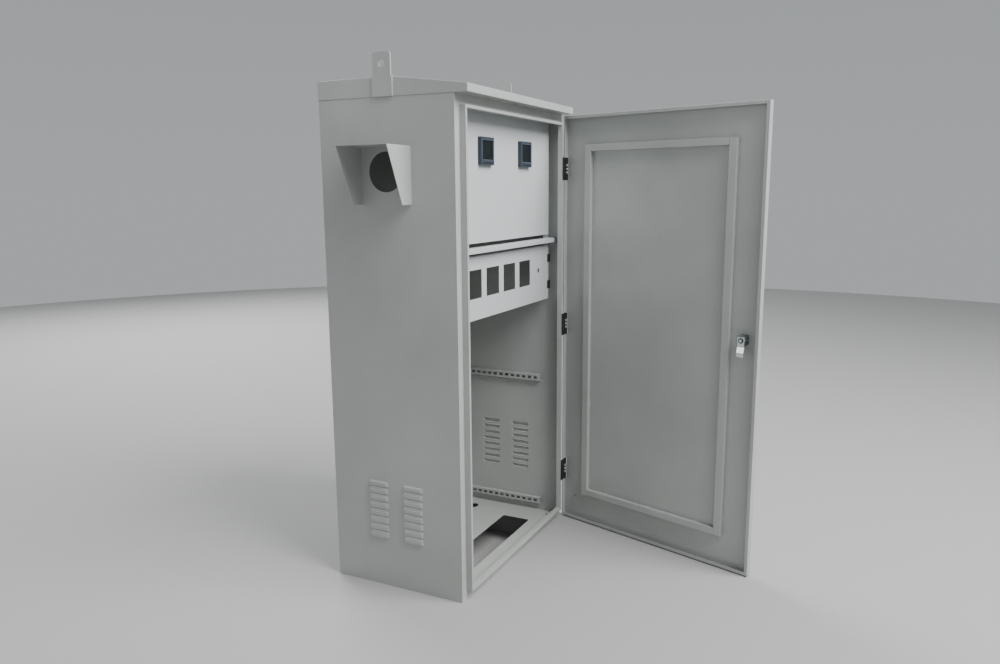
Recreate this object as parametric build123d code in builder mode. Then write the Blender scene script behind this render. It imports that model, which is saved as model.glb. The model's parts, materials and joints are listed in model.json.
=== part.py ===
"""Roadside utility cabinet in folded sheet steel, door standing open.

Millimetres. X runs across the cabinet, the door side faces -Y, Z is up.
The origin is the centre of the footprint, on the ground.
"""
import math
import os

from build123d import *

os.makedirs("parts", exist_ok=True)
# cabinet body
body_width = 1000.0
body_depth = 600.0
wall_height = 1953.0
sheet = 2.0
floor_sheet = 3.0

# front frame: flat flange, then a rim folded forward round the door opening
flange_width = 49.0
opening_sill = 49.0
opening_head = 50.0
rim_face = 12.0
rim_reach = 26.0
rim_return = 23.0

# roof cap
roof_lap = 2.0
roof_rise = 71.0
roof_overhang = 56.0
roof_front_band = 30.0
roof_ridge_back = 260.0
roof_shelf = 22.0

# lifting lugs
lug_plate = 6.0
lug_foot_width = 88.0
lug_tongue_width = 79.0
lug_height = 158.0
lug_hole = 27.0
lug_hole_height = 117.0
lug_corner = 12.0

# fan opening and its rain hood
fan_hole = 150.0
fan_drop = 273.0
hood_width = 224.0
hood_drop = 179.0
hood_height = 215.0
hood_reach_top = 152.0
hood_reach_bottom = 62.0

# louvres: pressed hoods, open at the bottom, domed in two slopes
louvre_length = 95.0
louvre_pitch = 31.7
louvre_count = 8
louvre_column = 82.0
louvre_lowest = 211.5
louvre_rise = 20.0
louvre_reach = 8.0
louvre_metal = 1.6
louvre_lip_drop = 2.0
louvre_root_slope = 55.0
louvre_front_slope = 25.0

# slotted rails on the side walls
rail_height = 33.0
rail_depth = 18.0
rail_end_gap = 98.0
rail_upper = 695.0
rail_lower = 53.0
slot_length = 18.0
slot_height = 12.0
slot_end_gap = 11.2
slot_count = 12

# floor
cable_gap_side = 150.0
cable_gap_depth = 140.0
cable_gap_front = 100.0
cable_gap_corner = 12.0
cable_hole = 53.0
cable_hole_side = 103.0
cable_hole_rear = 161.0
anchor_hole = 14.0
anchor_edge = 50.0

# inner panels
panel_setback = 48.0
panel_side_gap = 38.0
panel_top_gap = 38.0
panel_fold = 14.0
instrument_panel_height = 511.0
post_face = 62.0
post_return = 28.0
cross_rail_gap = 16.0
cross_rail_height = 20.0
cross_rail_setback = 18.0
cross_rail_clear = 2.0
breaker_panel_gap = 13.0
breaker_panel_height = 257.0
breaker_panel_side_gap = 60.0
cutout_width = 113.5
cutout_height = 115.0
cutouts_in_length = 5.8
cutout_shift = 50.5
cutout_drop = 112.5
panel_lock_hole = 22.0
panel_lock_edge = 118.0
panel_hinge_height = 38.0
panel_hinge_drop = 62.0
panel_hinge_lift = 69.0
panel_hinge_barrel = 7.0
panel_hinge_leaf = 20.0
panel_hinge_metal = 2.0
panel_hinge_web = 4.0
panel_hinge_gap = 0.5

# instruments
instrument_width = 110.0
instrument_height = 108.0
instrument_proud = 15.0
instrument_x = 181.5
instrument_drop = 152.0
instrument_case = 90.0
instrument_case_depth = 60.0
instrument_corner = 4.0
window_width = 88.0
window_height = 84.0
window_recess = 5.0
glass_sheet = 2.0
glass_gap = 0.3

# door
door_side_gap = 2.5
door_bottom = 5.0
door_head_gap = 8.0
door_depth = 28.0
door_lip = 14.0
door_hinge_lip = 5.0
door_gap = 6.0
door_open_angle = 73.7

# door hinges
hinge_axis_side = 2.0
hinge_axis_front = 28.5
hinge_from_top = 238.0
hinge_above_middle = 1.0
hinge_from_bottom = 239.0
hinge_height = 104.0
hinge_barrel = 16.0
hinge_pin = 6.0
hinge_leaf = 3.0
hinge_leaf_gap = 1.5
hinge_play = 0.08
hinge_side_gap = 0.5
knuckle_height = 47.0
door_leaf = 2.0
door_leaf_reach = 33.0
notch_spare = 1.5
notch_side_gap = 0.8

# stiffener on the inner face of the door
tube_width = 34.0
tube_depth = 20.0
tube_wall = 1.5
tube_cross_width = 30.0
stiffener_hinge_edge = 115.0
stiffener_free_edge = 133.0
stiffener_foot_edge = 136.0
stiffener_head_edge = 132.0

# lock
lock_edge = 70.0
lock_above_middle = 33.0
lock_width = 35.0
lock_height = 44.0
lock_corner = 7.0
spindle = 16.0
spindle_gap = 2.0
stub = 10.0
stub_end = 2.0
cam_width = 30.0
cam_metal = 3.0
cam_top = 15.0
cam_bend_start = 27.0
cam_bend_end = 51.0
cam_wall_gap = 3.5
cam_frame_gap = 0.4
cam_crank = 5.5
nut_size = 17.0
nut_height = 5.0
plate_size = 40.0
plate_height = 6.0
hub_size = 24.0
hub_height = 16.0
lever_length = 120.0
lever_width = 22.0
lever_height = 12.0
lever_corner = 10.0

# the body
half_width = body_width / 2
half_depth = body_depth / 2
inner_half = half_width - sheet
fold = 2 * sheet

# the opening and its rim
opening_width = body_width - 2 * flange_width
opening_height = wall_height - opening_sill - opening_head
opening_middle = opening_sill + opening_height / 2
rim_width = opening_width + 2 * rim_face
rim_height = opening_height + 2 * rim_face
rim_front = half_depth + rim_reach

# places that follow the body
roof_ridge_y = roof_ridge_back - half_depth
fan_height = wall_height - fan_drop
hood_top = wall_height - hood_drop
hood_bottom = hood_top - hood_height
rail_length = body_depth - 2 * rail_end_gap
slot_pitch = (rail_length - 2 * slot_end_gap) / slot_count
cable_gap_length = body_width - 2 * cable_gap_side
cable_gap_y = cable_gap_front + cable_gap_depth / 2 - half_depth
cable_hole_x = half_width - cable_hole_side
cable_hole_y = half_depth - cable_hole_rear
anchor_x = body_width - 2 * anchor_edge
anchor_y = body_depth - 2 * anchor_edge

# places of the inner panels, from the top down
panel_front = panel_setback - half_depth
panel_right = half_width - panel_side_gap
instrument_panel_top = wall_height - panel_top_gap
instrument_panel_bottom = instrument_panel_top - instrument_panel_height
instrument_z = instrument_panel_top - instrument_drop
cross_rail_top = instrument_panel_bottom - cross_rail_gap
cross_rail_bottom = cross_rail_top - cross_rail_height
breaker_panel_top = cross_rail_bottom - breaker_panel_gap
breaker_panel_bottom = breaker_panel_top - breaker_panel_height
breaker_panel_left = half_width - breaker_panel_side_gap
breaker_length = panel_right + breaker_panel_left
breaker_middle = (panel_right - breaker_panel_left) / 2
cutout_pitch = breaker_length / cutouts_in_length
cutout_middle_x = breaker_middle - cutout_shift
cutout_middle_z = breaker_panel_top - cutout_drop
panel_lock_x = panel_right - panel_lock_edge
panel_hinge_upper = breaker_panel_top - panel_hinge_drop
panel_hinge_lower = breaker_panel_bottom + panel_hinge_lift

# places on the door and its hinges
door_width = body_width - 2 * door_side_gap
door_top = wall_height - door_head_gap
door_height = door_top - door_bottom
door_middle = (door_top + door_bottom) / 2
hinge_axis_x = half_width - hinge_axis_side
hinge_axis_y = -half_depth - hinge_axis_front
hinge_top = door_top - hinge_from_top
hinge_middle = door_middle + hinge_above_middle
hinge_bottom = door_bottom + hinge_from_bottom
hinge_heights = (hinge_top, hinge_middle, hinge_bottom)
stiffener_left = stiffener_hinge_edge
stiffener_right = door_width - stiffener_free_edge
stiffener_bottom = door_bottom + stiffener_foot_edge
stiffener_top = door_top - stiffener_head_edge
lock_x = door_width - lock_edge
lock_z = door_middle + lock_above_middle
cam_reach = lock_edge + door_side_gap - sheet - cam_wall_gap
cam_foot = door_gap + sheet + cam_frame_gap

# front frame
with BuildPart() as front_frame:
    with BuildSketch(Plane.XZ.offset(half_depth - sheet)):
        with Locations((0, wall_height / 2)):
            Rectangle(body_width, wall_height)
        with Locations((0, opening_middle)):
            Rectangle(rim_width - fold, rim_height - fold, mode=Mode.SUBTRACT)
    extrude(amount=sheet)
    with BuildSketch(Plane.XZ.offset(half_depth - sheet)):
        with Locations((0, opening_middle)):
            Rectangle(rim_width, rim_height)
            Rectangle(rim_width - fold, rim_height - fold, mode=Mode.SUBTRACT)
    extrude(amount=sheet + rim_reach)
    with BuildSketch(Plane.XZ.offset(rim_front - sheet)):
        with Locations((0, opening_middle)):
            Rectangle(rim_width, rim_height)
            Rectangle(opening_width, opening_height, mode=Mode.SUBTRACT)
    extrude(amount=sheet)
    with BuildSketch(Plane.XZ.offset(rim_front - rim_return)):
        with Locations((0, opening_middle)):
            Rectangle(opening_width + fold, opening_height + fold)
            Rectangle(opening_width, opening_height, mode=Mode.SUBTRACT)
    extrude(amount=rim_return)

# louvres, drawn once for the left wall and once for the right
root_reach = louvre_reach / 2
front_reach = louvre_reach - root_reach
root_inset = root_reach * math.tan(math.radians(louvre_root_slope))
outer_length = louvre_length - 2 * root_inset
outer_rise = louvre_rise - root_inset
throat_length = louvre_length - 2 * louvre_metal
throat_rise = louvre_rise - louvre_metal
throat_reach = front_reach - louvre_metal
block = 2 * louvre_rise
below = (Align.CENTER, Align.CENTER, Align.MAX)
with BuildPart() as louvre_left:
    with BuildSketch(Plane.YZ):
        Rectangle(louvre_length, 2 * louvre_rise)
    extrude(amount=-root_reach, taper=louvre_root_slope)
    with BuildSketch(Plane.YZ.offset(-root_reach)):
        Rectangle(outer_length, 2 * outer_rise)
    extrude(amount=-front_reach, taper=louvre_front_slope)
    with Locations((0, 0, -louvre_lip_drop)):
        Box(block, 2 * louvre_length, block, align=below, mode=Mode.SUBTRACT)
with BuildPart() as louvre_left_throat:
    with BuildSketch(Plane.YZ):
        Rectangle(throat_length, 2 * throat_rise)
    extrude(amount=-root_reach, taper=louvre_root_slope)
    with BuildSketch(Plane.YZ.offset(-root_reach)):
        Rectangle(throat_length - 2 * root_inset, 2 * (throat_rise - root_inset))
    extrude(amount=-throat_reach, taper=louvre_front_slope)
    with BuildSketch(Plane.YZ):
        with Locations((0, throat_rise / 2)):
            Rectangle(throat_length, throat_rise)
    extrude(amount=sheet)
louvre_right = mirror(louvre_left.part, about=Plane.YZ)
louvre_right_throat = mirror(louvre_left_throat.part, about=Plane.YZ)

louvre_places = []
for column in (-louvre_column, louvre_column):
    for row in range(louvre_count):
        louvre_places.append((column, louvre_lowest + row * louvre_pitch))

# side walls
wall_run = body_depth - 2 * sheet
with BuildPart() as side_wall_left:
    with BuildSketch(Plane.YZ.offset(-half_width)):
        with Locations((0, wall_height / 2)):
            Rectangle(wall_run, wall_height)
        with Locations((0, fan_height)):
            Circle(fan_hole / 2, mode=Mode.SUBTRACT)
    extrude(amount=sheet)
    with Locations([(-half_width, y, z) for y, z in louvre_places]):
        add(louvre_left.part)
    with Locations([(-half_width, y, z) for y, z in louvre_places]):
        add(louvre_left_throat.part, mode=Mode.SUBTRACT)

with BuildPart() as side_wall_right:
    with BuildSketch(Plane.YZ.offset(half_width - sheet)):
        with Locations((0, wall_height / 2)):
            Rectangle(wall_run, wall_height)
    extrude(amount=sheet)
    with Locations([(half_width, y, z) for y, z in louvre_places]):
        add(louvre_right)
    with Locations([(half_width, y, z) for y, z in louvre_places]):
        add(louvre_right_throat, mode=Mode.SUBTRACT)

# rear wall
with BuildPart() as rear_wall:
    with BuildSketch(Plane.XZ.offset(-half_depth)):
        with Locations((0, wall_height / 2)):
            Rectangle(body_width, wall_height)
    extrude(amount=sheet)

# floor
with BuildPart() as floor_plate:
    with BuildSketch(Plane.XY):
        Rectangle(2 * inner_half, wall_run)
        with Locations((0, cable_gap_y)):
            RectangleRounded(cable_gap_length, cable_gap_depth, cable_gap_corner, mode=Mode.SUBTRACT)
        with Locations((cable_hole_x, cable_hole_y)):
            Circle(cable_hole / 2, mode=Mode.SUBTRACT)
        with GridLocations(anchor_x, anchor_y, 2, 2):
            Circle(anchor_hole / 2, mode=Mode.SUBTRACT)
    extrude(amount=floor_sheet)

# roof cap
roof_top = wall_height + roof_rise
roof_front = half_depth + roof_overhang
roof_rear = half_depth + roof_lap
roof_half = half_width + roof_lap
band_top = wall_height + roof_front_band
roof_slope = (roof_rise - roof_front_band) / (roof_front + roof_ridge_y)
front_inside = band_top - sheet + roof_slope * sheet
with BuildPart() as roof_cap:
    with BuildSketch(Plane.YZ.offset(-roof_half)):
        with BuildLine():
            Polyline(
                (-roof_front, wall_height), (roof_rear, wall_height), (roof_rear, roof_top),
                (roof_ridge_y, roof_top), (-roof_front, band_top), (-roof_front, wall_height),
            )
        make_face()
    extrude(amount=2 * roof_half)
    with BuildSketch(Plane.YZ.offset(-roof_half + sheet)):
        with BuildLine():
            Polyline(
                (-roof_front + sheet, wall_height + sheet), (roof_rear - sheet, wall_height + sheet),
                (roof_rear - sheet, roof_top - sheet), (roof_ridge_y, roof_top - sheet),
                (-roof_front + sheet, front_inside), (-roof_front + sheet, wall_height + sheet),
            )
        make_face()
    extrude(amount=2 * (roof_half - sheet), mode=Mode.SUBTRACT)
    with BuildSketch(Plane.XY.offset(wall_height - 1)):
        Rectangle(body_width - 2 * roof_shelf, body_depth - 2 * roof_shelf)
    extrude(amount=sheet + 1, mode=Mode.SUBTRACT)

# lifting lugs
with BuildPart() as lug_left:
    with BuildSketch(Plane.YZ.offset(-roof_half - lug_plate)):
        with Locations((0, wall_height + roof_rise / 2)):
            Rectangle(lug_foot_width, roof_rise)
        with Locations((0, wall_height + lug_height / 2)):
            tongue = Rectangle(lug_tongue_width, lug_height)
        with Locations((0, wall_height + lug_hole_height)):
            Circle(lug_hole / 2, mode=Mode.SUBTRACT)
    extrude(amount=lug_plate)
    fillet(lug_left.edges().filter_by(Axis.X).sort_by(Axis.Z)[-2:], lug_corner)

with BuildPart() as lug_right:
    add(mirror(lug_left.part, about=Plane.YZ))

# rain hood over the fan opening
hood_half = hood_width / 2
with BuildPart() as fan_hood:
    with BuildSketch(Plane.XZ.offset(-hood_half)):
        with BuildLine():
            Polyline(
                (-half_width, hood_bottom), (-half_width, hood_top),
                (-half_width - hood_reach_top, hood_top), (-half_width - hood_reach_top, hood_top - sheet),
                (-half_width - hood_reach_bottom, hood_bottom), (-half_width, hood_bottom),
            )
        make_face()
    extrude(amount=hood_width)
    with BuildSketch(Plane.XZ.offset(-hood_half + sheet)):
        with Locations((-half_width, hood_top - sheet)):
            Rectangle(2 * hood_reach_top, hood_height, align=(Align.CENTER, Align.MAX))
    extrude(amount=hood_width - 2 * sheet, mode=Mode.SUBTRACT)

# slotted rails
rail_inner = half_width - sheet - rail_depth
with BuildPart() as rail_upper_right:
    with BuildSketch(Plane.XZ.offset(-rail_length / 2)):
        with Locations((half_width - sheet - rail_depth / 2, rail_upper)):
            Rectangle(rail_depth, rail_height)
        with Locations((half_width - rail_depth / 2, rail_upper)):
            Rectangle(rail_depth, rail_height - fold, mode=Mode.SUBTRACT)
    extrude(amount=rail_length)
    with BuildSketch(Plane.YZ.offset(rail_inner - 1)):
        with Locations((0, rail_upper)):
            with GridLocations(slot_pitch, slot_pitch, slot_count, 1):
                Rectangle(slot_length, slot_height)
    extrude(amount=fold, mode=Mode.SUBTRACT)
with BuildPart() as rail_lower_right:
    with Locations((0, 0, rail_lower - rail_upper)):
        add(rail_upper_right.part)
with BuildPart() as rail_upper_left:
    add(mirror(rail_upper_right.part, about=Plane.YZ))
with BuildPart() as rail_lower_left:
    add(mirror(rail_lower_right.part, about=Plane.YZ))

# posts that carry the inner panels, one folded angle on each side wall
panel_back = panel_front + sheet
post_front = panel_back + panel_fold
post_bottom = breaker_panel_bottom + sheet
post_height = instrument_panel_top - post_bottom
with BuildPart() as panel_post_right:
    with BuildSketch(Plane.XY.offset(post_bottom)):
        with Locations((inner_half - post_face / 2, post_front + sheet / 2)):
            Rectangle(post_face, sheet)
        with Locations((inner_half - sheet / 2, post_front + post_return / 2)):
            Rectangle(sheet, post_return)
    extrude(amount=post_height)
with BuildPart() as panel_post_left:
    add(mirror(panel_post_right.part, about=Plane.YZ))

# cross rail between the side walls, an angle with a face to the front and a shelf back to the posts
cross_rail_front = cross_rail_setback - half_depth
cross_rail_depth = post_front - cross_rail_clear - cross_rail_front
with BuildPart() as cross_rail:
    with BuildSketch(Plane.YZ.offset(-inner_half)):
        with Locations((cross_rail_front + sheet / 2, (cross_rail_bottom + cross_rail_top) / 2)):
            Rectangle(sheet, cross_rail_height)
        with Locations((cross_rail_front + cross_rail_depth / 2, cross_rail_top - sheet / 2)):
            Rectangle(cross_rail_depth, sheet)
    extrude(amount=2 * inner_half)

# instrument panel and its two meters
with BuildPart() as instrument_panel:
    with BuildSketch(Plane.XZ.offset(-panel_back)):
        with Locations((0, instrument_panel_bottom + instrument_panel_height / 2)):
            Rectangle(2 * panel_right, instrument_panel_height)
        with Locations((-instrument_x, instrument_z), (instrument_x, instrument_z)):
            Rectangle(instrument_case, instrument_case, mode=Mode.SUBTRACT)
    extrude(amount=sheet)
    with BuildSketch(Plane.XZ.offset(-post_front)):
        with Locations((0, instrument_panel_bottom + instrument_panel_height / 2)):
            Rectangle(2 * panel_right, instrument_panel_height)
            Rectangle(2 * panel_right - fold, instrument_panel_height - fold, mode=Mode.SUBTRACT)
    extrude(amount=panel_fold)

window_floor = -panel_front + instrument_proud - window_recess
with BuildPart() as meter_left:
    with BuildSketch(Plane.XZ.offset(-panel_front)):
        with Locations((-instrument_x, instrument_z)):
            Rectangle(instrument_width, instrument_height)
    extrude(amount=instrument_proud)
    with BuildSketch(Plane.XZ.offset(-panel_front - instrument_case_depth)):
        with Locations((-instrument_x, instrument_z)):
            Rectangle(instrument_case, instrument_case)
    extrude(amount=instrument_case_depth)
    fillet(meter_left.edges().filter_by(Axis.Y).group_by(Axis.Y)[0], instrument_corner)
    with BuildSketch(Plane.XZ.offset(window_floor)):
        with Locations((-instrument_x, instrument_z)):
            Rectangle(window_width, window_height)
    extrude(amount=window_recess, mode=Mode.SUBTRACT)
with BuildPart() as meter_glass_left:
    with BuildSketch(Plane.XZ.offset(window_floor)):
        with Locations((-instrument_x, instrument_z)):
            Rectangle(window_width - 2 * glass_gap, window_height - 2 * glass_gap)
    extrude(amount=glass_sheet)
with BuildPart() as meter_right:
    with Locations((2 * instrument_x, 0, 0)):
        add(meter_left.part)
with BuildPart() as meter_glass_right:
    with Locations((2 * instrument_x, 0, 0)):
        add(meter_glass_left.part)

# breaker panel
with BuildPart() as breaker_panel:
    with BuildSketch(Plane.XZ.offset(-panel_back)):
        with Locations((breaker_middle, breaker_panel_bottom + breaker_panel_height / 2)):
            Rectangle(breaker_length, breaker_panel_height)
    extrude(amount=sheet)
    with BuildSketch(Plane.XZ.offset(-post_front)):
        with Locations((breaker_middle, breaker_panel_bottom + breaker_panel_height / 2)):
            Rectangle(breaker_length, breaker_panel_height)
            Rectangle(breaker_length - fold, breaker_panel_height - fold, mode=Mode.SUBTRACT)
    extrude(amount=panel_fold)
    with BuildSketch(Plane.XZ.offset(-panel_back)):
        with Locations((cutout_middle_x, cutout_middle_z)):
            with GridLocations(cutout_pitch, cutout_pitch, 4, 1):
                Rectangle(cutout_width, cutout_height)
        with Locations((panel_lock_x, cutout_middle_z)):
            Circle(panel_lock_hole / 2)
    extrude(amount=sheet, mode=Mode.SUBTRACT)

barrel_x = panel_right + panel_hinge_barrel / 2 + panel_hinge_gap
barrel_y = panel_front - panel_hinge_barrel / 2
with BuildPart() as panel_hinge:
    with BuildSketch(Plane.XY.offset(-panel_hinge_height / 2)):
        with Locations((barrel_x, barrel_y)):
            Circle(panel_hinge_barrel / 2)
        with Locations((barrel_x - panel_hinge_leaf / 2, panel_front - panel_hinge_metal / 2)):
            Rectangle(panel_hinge_leaf, panel_hinge_metal)
        with Locations((barrel_x, (barrel_y + post_front) / 2)):
            Rectangle(panel_hinge_web, post_front - barrel_y)
    extrude(amount=panel_hinge_height)
with BuildPart() as panel_hinges:
    with Locations((0, 0, panel_hinge_upper), (0, 0, panel_hinge_lower)):
        add(panel_hinge.part)

# door hinges, the half on the frame
hinge_reach = hinge_axis_x - opening_width / 2
leaf_right = hinge_axis_x - hinge_barrel / 2 - hinge_leaf_gap
with BuildPart() as frame_hinge:
    with BuildSketch(Plane.XY.offset(-hinge_height / 2)):
        with Locations((hinge_axis_x, hinge_axis_y)):
            Circle(hinge_barrel / 2)
        with Locations((opening_width / 2 + hinge_reach / 2, -rim_front - hinge_leaf / 2)):
            Rectangle(hinge_reach, hinge_leaf)
    extrude(amount=hinge_height)
    with BuildSketch(Plane.XY.offset(-knuckle_height / 2 - hinge_side_gap)):
        with Locations((leaf_right + hinge_barrel, hinge_axis_y)):
            Rectangle(2 * hinge_barrel, 2 * hinge_barrel)
    extrude(amount=knuckle_height + 2 * hinge_side_gap, mode=Mode.SUBTRACT)
    with BuildSketch(Plane.XY.offset(-hinge_height / 2)):
        with Locations((hinge_axis_x, hinge_axis_y)):
            Circle(hinge_pin / 2)
    extrude(amount=hinge_height, mode=Mode.SUBTRACT)
with BuildPart() as hinge_leaf_top:
    with Locations((0, 0, hinge_heights[0])):
        add(frame_hinge.part)
with BuildPart() as hinge_leaf_middle:
    with Locations((0, 0, hinge_heights[1])):
        add(frame_hinge.part)
with BuildPart() as hinge_leaf_bottom:
    with Locations((0, 0, hinge_heights[2])):
        add(frame_hinge.part)
with BuildPart() as hinge_pins:
    with Locations([(hinge_axis_x, hinge_axis_y, level) for level in hinge_heights]):
        Cylinder(hinge_pin / 2, hinge_height)

# door, drawn on the plane of its lip: first the corner on the hinge side, then along the door
turn = math.radians(door_open_angle)
shut_x = door_width / 2 - hinge_axis_x
shut_y = -half_depth - door_gap - hinge_axis_y
corner_x = hinge_axis_x + shut_x * math.cos(turn) - shut_y * math.sin(turn)
corner_y = hinge_axis_y + shut_x * math.sin(turn) + shut_y * math.cos(turn)
door_face = Plane(
    origin=(corner_x, corner_y, 0),
    x_dir=(-math.cos(turn), -math.sin(turn), 0),
    z_dir=(-math.sin(turn), math.cos(turn), 0),
)
skin_inside = -door_depth + sheet
notch_width = hinge_barrel / 2 + shut_x + notch_side_gap
notch_height = hinge_height + 2 * notch_spare
lip_opening = door_width - door_lip - door_hinge_lip
lip_middle = door_hinge_lip + lip_opening / 2
with BuildPart() as door_panel:
    with BuildSketch(door_face.offset(-door_depth)):
        with Locations((door_width / 2, door_middle)):
            Rectangle(door_width, door_height)
    extrude(amount=door_depth)
    with BuildSketch(door_face.offset(skin_inside)):
        with Locations((door_width / 2, door_middle)):
            Rectangle(door_width - fold, door_height - fold)
    extrude(amount=door_depth, mode=Mode.SUBTRACT)
    with BuildSketch(door_face.offset(-sheet)):
        with Locations((door_width / 2, door_middle)):
            Rectangle(door_width, door_height)
        with Locations((lip_middle, door_middle)):
            Rectangle(lip_opening, door_height - 2 * door_lip, mode=Mode.SUBTRACT)
    extrude(amount=sheet)
    with BuildSketch(door_face.offset(-door_depth - 1)):
        with Locations([(0, level) for level in hinge_heights]):
            Rectangle(2 * notch_width, notch_height)
        with Locations((lock_x, lock_z)):
            Circle(spindle / 2 + spindle_gap)
    extrude(amount=door_depth + 2, mode=Mode.SUBTRACT)

# stiffener frame, two upright tubes with two cross tubes between them
tube_bore = tube_width - 2 * tube_wall
tube_height = stiffener_top - stiffener_bottom
tube_middle = (stiffener_top + stiffener_bottom) / 2
upright_left = stiffener_left + tube_width / 2
upright_right = stiffener_right - tube_width / 2
with BuildPart() as stiffener_uprights:
    with BuildSketch(door_face.offset(skin_inside)):
        with Locations((upright_left, tube_middle), (upright_right, tube_middle)):
            Rectangle(tube_width, tube_height)
    extrude(amount=tube_depth)
    with BuildSketch(door_face.offset(skin_inside + tube_wall)):
        with Locations((upright_left, tube_middle), (upright_right, tube_middle)):
            Rectangle(tube_bore, tube_height + 2)
    extrude(amount=tube_depth - 2 * tube_wall, mode=Mode.SUBTRACT)
cross_length = upright_right - upright_left - tube_width
cross_low = stiffener_bottom + tube_cross_width / 2
cross_high = stiffener_top - tube_cross_width / 2
cross_middle = (upright_left + upright_right) / 2
with BuildPart() as stiffener_crossbars:
    with BuildSketch(door_face.offset(skin_inside)):
        with Locations((cross_middle, cross_low), (cross_middle, cross_high)):
            Rectangle(cross_length, tube_cross_width)
    extrude(amount=tube_depth)
    with BuildSketch(door_face.offset(skin_inside + tube_wall)):
        with Locations((cross_middle, cross_low), (cross_middle, cross_high)):
            Rectangle(cross_length + 2, tube_cross_width - 2 * tube_wall)
    extrude(amount=tube_depth - 2 * tube_wall, mode=Mode.SUBTRACT)

# door hinges, the half on the door: a knuckle on a painted plate
with BuildPart() as knuckle:
    with Locations((hinge_axis_x, hinge_axis_y, 0)):
        Cylinder(hinge_barrel / 2, knuckle_height)
        Cylinder(hinge_pin / 2 + hinge_play, 2 * knuckle_height, mode=Mode.SUBTRACT)
with BuildPart() as door_knuckle_top:
    with Locations((0, 0, hinge_top)):
        add(knuckle.part)
with BuildPart() as door_knuckle_middle:
    with Locations((0, 0, hinge_middle)):
        add(knuckle.part)
with BuildPart() as door_knuckle_bottom:
    with Locations((0, 0, hinge_bottom)):
        add(knuckle.part)
with BuildPart() as door_leaves:
    with BuildSketch(door_face.offset(skin_inside)):
        with Locations([(door_leaf_reach / 2, level) for level in hinge_heights]):
            Rectangle(door_leaf_reach, knuckle_height)
    extrude(amount=door_leaf)
    with Locations([(hinge_axis_x, hinge_axis_y, level) for level in hinge_heights]):
        Cylinder(hinge_barrel / 2, 2 * knuckle_height, mode=Mode.SUBTRACT)

# lock body and outside plate, fixed to the door
with BuildPart() as lock_body:
    with BuildSketch(door_face.offset(skin_inside)):
        with Locations((lock_x, lock_z)):
            RectangleRounded(lock_width, lock_height, lock_corner)
            Circle(spindle / 2 + hinge_play, mode=Mode.SUBTRACT)
    extrude(amount=cam_foot - hinge_side_gap - skin_inside)
with BuildPart() as handle_plate:
    with BuildSketch(door_face.offset(-door_depth - plate_height)):
        with Locations((lock_x, lock_z)):
            Circle(plate_size / 2)
            Circle(spindle / 2 + hinge_play, mode=Mode.SUBTRACT)
    extrude(amount=plate_height)

# handle with its spindle, cam and nut, which turn together
hub_foot = -door_depth - plate_height - hinge_side_gap
with BuildPart() as handle:
    with BuildSketch(door_face.offset(hub_foot - hub_height - lever_height)):
        with Locations((lock_x - lever_length / 2 + lever_width / 2, lock_z)):
            RectangleRounded(lever_length, lever_width, lever_corner)
    extrude(amount=lever_height)
    with BuildSketch(door_face.offset(hub_foot - hub_height)):
        with Locations((lock_x, lock_z)):
            Circle(hub_size / 2)
    extrude(amount=hub_height)
    with BuildSketch(door_face.offset(hub_foot)):
        with Locations((lock_x, lock_z)):
            Circle(spindle / 2)
    extrude(amount=cam_foot - hub_foot)
    with BuildSketch(door_face.offset(cam_foot)):
        with Locations((lock_x, lock_z)):
            Circle(stub / 2)
    extrude(amount=cam_metal + nut_height + stub_end)

cam_side = Plane(
    origin=door_face.from_local_coords((lock_x + cam_width / 2, 0, cam_foot)),
    x_dir=door_face.z_dir,
    z_dir=-door_face.x_dir,
)
with BuildPart() as cam:
    with BuildSketch(cam_side):
        with BuildLine():
            Polyline(
                (0, lock_z + cam_top), (cam_metal, lock_z + cam_top),
                (cam_metal, lock_z - cam_bend_start), (cam_crank + cam_metal, lock_z - cam_bend_end),
                (cam_crank + cam_metal, lock_z - cam_reach), (cam_crank, lock_z - cam_reach),
                (cam_crank, lock_z - cam_bend_end), (0, lock_z - cam_bend_start), (0, lock_z + cam_top),
            )
        make_face()
    extrude(amount=cam_width)
    with BuildSketch(door_face.offset(cam_foot)):
        with Locations((lock_x, lock_z)):
            Circle(stub / 2)
    extrude(amount=cam_metal, mode=Mode.SUBTRACT)
with BuildPart() as cam_nut:
    with BuildSketch(door_face.offset(cam_foot + cam_metal)):
        with Locations((lock_x, lock_z)):
            RegularPolygon(nut_size / 2, 6)
            Circle(stub / 2, mode=Mode.SUBTRACT)
    extrude(amount=nut_height)

# write one file for each named piece
side_wall_left.part.label = "side_wall_left"
export_step(side_wall_left.part, "parts/side_wall_left.step")
side_wall_right.part.label = "side_wall_right"
export_step(side_wall_right.part, "parts/side_wall_right.step")
rear_wall.part.label = "rear_wall"
export_step(rear_wall.part, "parts/rear_wall.step")
front_frame.part.label = "front_frame"
export_step(front_frame.part, "parts/front_frame.step")
floor_plate.part.label = "floor_plate"
export_step(floor_plate.part, "parts/floor_plate.step")
roof_cap.part.label = "roof_cap"
export_step(roof_cap.part, "parts/roof_cap.step")
lug_left.part.label = "lug_left"
export_step(lug_left.part, "parts/lug_left.step")
lug_right.part.label = "lug_right"
export_step(lug_right.part, "parts/lug_right.step")
fan_hood.part.label = "fan_hood"
export_step(fan_hood.part, "parts/fan_hood.step")
rail_upper_left.part.label = "rail_upper_left"
export_step(rail_upper_left.part, "parts/rail_upper_left.step")
rail_upper_right.part.label = "rail_upper_right"
export_step(rail_upper_right.part, "parts/rail_upper_right.step")
rail_lower_left.part.label = "rail_lower_left"
export_step(rail_lower_left.part, "parts/rail_lower_left.step")
rail_lower_right.part.label = "rail_lower_right"
export_step(rail_lower_right.part, "parts/rail_lower_right.step")
panel_post_left.part.label = "panel_post_left"
export_step(panel_post_left.part, "parts/panel_post_left.step")
panel_post_right.part.label = "panel_post_right"
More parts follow.
